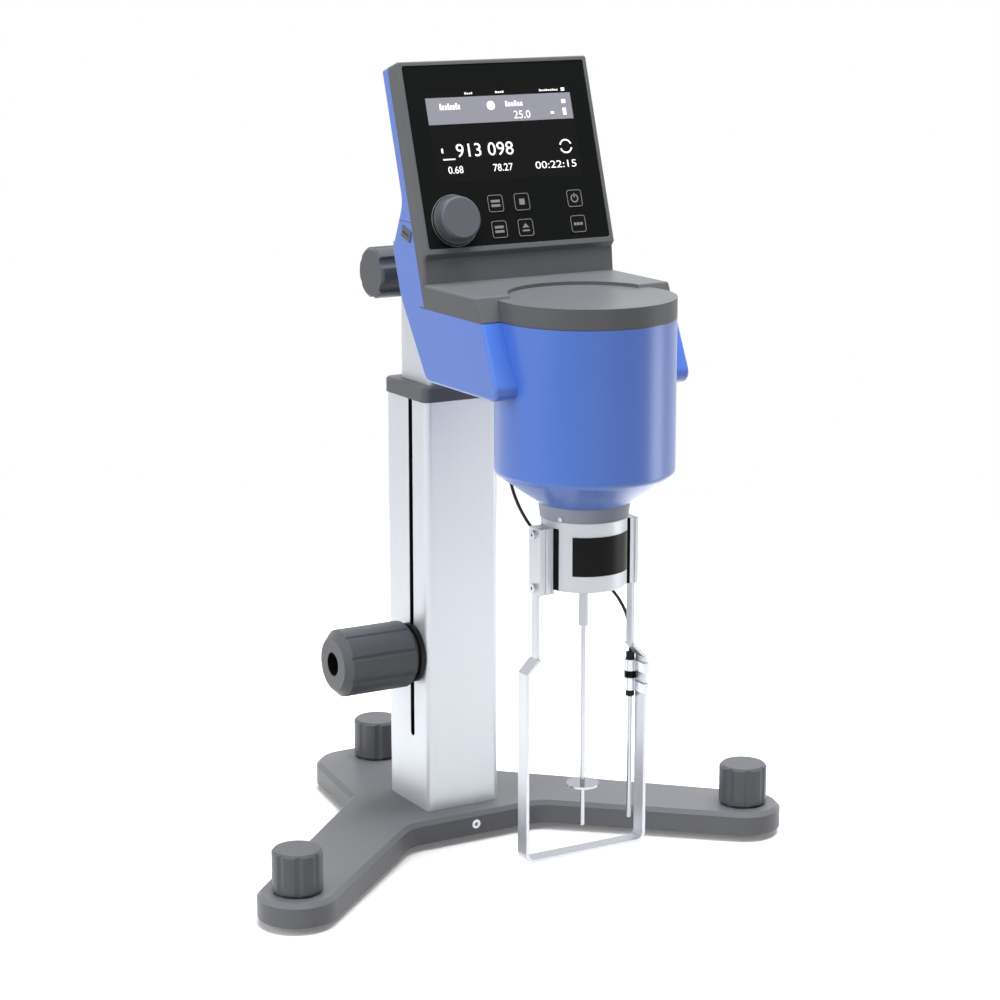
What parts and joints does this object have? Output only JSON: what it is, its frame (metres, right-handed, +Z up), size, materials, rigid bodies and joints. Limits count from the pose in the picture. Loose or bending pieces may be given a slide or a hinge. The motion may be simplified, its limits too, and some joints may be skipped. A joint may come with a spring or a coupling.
{
  "type": "rotational viscometer",
  "caption": "Bench rotational viscometer: three-legged levelling base, rack-driven column, display head, drive housing, guard with disc spindle and temperature sensor.",
  "frame": {"origin": "middle of the footprint, on the bench, under the levelling feet", "axes": "+Z up; -Y towards the operator (display and spindle side); +X to the operator's right"},
  "size_m": [0.387, 0.3592, 0.5236],
  "materials": {
    "casting_grey": "satin",
    "column_silver": "satin",
    "steel": "brushed",
    "bright_steel": "polished",
    "cast_aluminium": "cast",
    "housing_silver": "bead blasted",
    "shell_blue": "satin",
    "cover_grey": "satin",
    "knob_grey": "satin",
    "clamp_grey": "satin",
    "black_plastic": "matte",
    "panel_black": "gloss",
    "screen": "satin",
    "key_grey": "satin",
    "board_green": "satin",
    "brass": "turned",
    "slide_plastic": "matte",
    "rubber": "matte",
    "label_black": "satin"
  },
  "bodies": {
    "stand": {"base_casting": "casting_grey", "outer_column": "column_silver", "column_collar": "knob_grey", "column_bolts": "steel", "rack": "steel", "front_socket_screw": "bright_steel"},
    "head": {"inner_column": "column_silver", "guide_shoe": "slide_plastic", "pinion_bushes": "brass", "main_housing": "shell_blue", "back_shell": "shell_blue", "front_cover": "cover_grey", "cover_clips": "cover_grey", "chassis_plate": "steel", "head_screws": "steel", "head_bracket": "cast_aluminium", "glass_panel": "panel_black", "display_module": "screen", "control_board": "board_green", "board_pillars": "brass", "drive_frame": "cast_aluminium", "drive_motor": "black_plastic", "ball_bearings": "steel", "bearing_housing": "housing_silver", "neck_ring": "cover_grey", "neck_screw": "bright_steel", "label_plate": "label_black", "guard_blocks": "housing_silver", "guard_frame": "steel", "guard_screws": "bright_steel", "sensor_probe": "bright_steel", "sensor_grip": "black_plastic", "sensor_clip": "bright_steel", "sensor_lead": "rubber", "sensor_plug": "black_plastic", "sensor_socket": "steel"},
    "height_drive": {"height_knob": "knob_grey", "friction_disc": "black_plastic", "pinion_shaft": "steel"},
    "clamp_slide": {"clamp_pad": "brass"},
    "clamp_screw": {"clamp_screw": "clamp_grey"},
    "encoder_push": {"encoder_plunger": "slide_plastic"},
    "menu_dial": {"menu_knob": "key_grey", "encoder_shaft": "steel"},
    "drive": {"drive_hub": "cast_aluminium"},
    "measuring": {"spindle": "bright_steel", "measuring_shaft": "steel", "torque_spring": "brass"},
    "foot_left": {"foot_pad_left": "rubber"},
    "foot_screw_left": {"levelling_screw_left": "knob_grey"},
    "foot_right": {"foot_pad_right": "rubber"},
    "foot_screw_right": {"levelling_screw_right": "knob_grey"},
    "foot_rear": {"foot_pad_rear": "rubber"},
    "foot_screw_rear": {"levelling_screw_rear": "knob_grey"},
    "key_1": {"key_1": "key_grey"},
    "key_2": {"key_2": "key_grey"},
    "key_3": {"key_3": "key_grey"},
    "key_4": {"key_4": "key_grey"},
    "key_5": {"key_5": "key_grey"},
    "key_6": {"key_6": "key_grey"}
  },
  "joints": [
    {"name": "foot_lift_left", "type": "slide", "parent": "stand", "child": "foot_left", "axis": [0, 0, 1], "range_m": [0, 0.0045]},
    {"name": "foot_turn_left", "type": "hinge", "parent": "foot_left", "child": "foot_screw_left", "pos_m": [-0.168, -0.06045, 0.02], "axis": [0, 0, 1], "range_deg": [0, 1297]},
    {"name": "foot_lift_right", "type": "slide", "parent": "stand", "child": "foot_right", "axis": [0, 0, 1], "range_m": [0, 0.0045]},
    {"name": "foot_turn_right", "type": "hinge", "parent": "foot_right", "child": "foot_screw_right", "pos_m": [0.168, -0.06045, 0.02], "axis": [0, 0, 1], "range_deg": [0, 1297]},
    {"name": "foot_lift_rear", "type": "slide", "parent": "stand", "child": "foot_rear", "axis": [0, 0, 1], "range_m": [0, 0.0045]},
    {"name": "foot_turn_rear", "type": "hinge", "parent": "foot_rear", "child": "foot_screw_rear", "pos_m": [0, 0.15555, 0.02], "axis": [0, 0, 1], "range_deg": [0, 1297]},
    {"name": "head_lift", "type": "slide", "parent": "stand", "child": "head", "axis": [0, 0, 1], "range_m": [-0.05, 0.15]},
    {"name": "height_turn", "type": "hinge", "parent": "head", "child": "height_drive", "pos_m": [-0.058, 0.04895, 0.1272], "axis": [-1, 0, 0], "range_deg": [-478, 1433]},
    {"name": "clamp_slide", "type": "slide", "parent": "head", "child": "clamp_slide", "axis": [-1, 0, 0], "range_m": [0, 0.002]},
    {"name": "clamp_turn", "type": "hinge", "parent": "clamp_slide", "child": "clamp_screw", "pos_m": [-0.04, 0.05555, 0.3845], "axis": [-1, 0, 0], "range_deg": [0, 577]},
    {"name": "dial_push", "type": "slide", "parent": "head", "child": "encoder_push", "axis": [0, 0.9533, -0.302], "range_m": [0, 0.0005], "stiffness_N_per_m": 4000, "springref_m": -0.0005},
    {"name": "dial_turn", "type": "hinge", "parent": "encoder_push", "child": "menu_dial", "pos_m": [-0.0442, -0.04292, 0.42815], "axis": [0, -0.9533, 0.302], "continuous": true},
    {"name": "drive_turn", "type": "hinge", "parent": "head", "child": "drive", "pos_m": [0, -0.12425, 0.3], "axis": [0, 0, 1], "continuous": true},
    {"name": "torque_turn", "type": "hinge", "parent": "drive", "child": "measuring", "pos_m": [0, -0.12425, 0.24], "axis": [0, 0, 1], "range_deg": [-85, 85], "stiffness_Nm_per_rad": 0.0006},
    {"name": "key_1_press", "type": "slide", "parent": "head", "child": "key_1", "axis": [0, 0.9533, -0.302], "range_m": [0, 0.0004], "stiffness_N_per_m": 1500, "springref_m": -0.0003},
    {"name": "key_2_press", "type": "slide", "parent": "head", "child": "key_2", "axis": [0, 0.9533, -0.302], "range_m": [0, 0.0004], "stiffness_N_per_m": 1500, "springref_m": -0.0003},
    {"name": "key_3_press", "type": "slide", "parent": "head", "child": "key_3", "axis": [0, 0.9533, -0.302], "range_m": [0, 0.0004], "stiffness_N_per_m": 1500, "springref_m": -0.0003},
    {"name": "key_4_press", "type": "slide", "parent": "head", "child": "key_4", "axis": [0, 0.9533, -0.302], "range_m": [0, 0.0004], "stiffness_N_per_m": 1500, "springref_m": -0.0003},
    {"name": "key_5_press", "type": "slide", "parent": "head", "child": "key_5", "axis": [0, 0.9533, -0.302], "range_m": [0, 0.0004], "stiffness_N_per_m": 1500, "springref_m": -0.0003},
    {"name": "key_6_press", "type": "slide", "parent": "head", "child": "key_6", "axis": [0, 0.9533, -0.302], "range_m": [0, 0.0004], "stiffness_N_per_m": 1500, "springref_m": -0.0003}
  ],
  "couplings": [
    {"joint": "foot_turn_left", "follows": "foot_lift_left", "rad_per_m": 5026.5},
    {"joint": "foot_turn_right", "follows": "foot_lift_right", "rad_per_m": 5026.5},
    {"joint": "foot_turn_rear", "follows": "foot_lift_rear", "rad_per_m": 5026.5},
    {"joint": "height_turn", "follows": "head_lift", "rad_per_m": 166.67},
    {"joint": "clamp_turn", "follows": "clamp_slide", "rad_per_m": 5026.5}
  ]
}
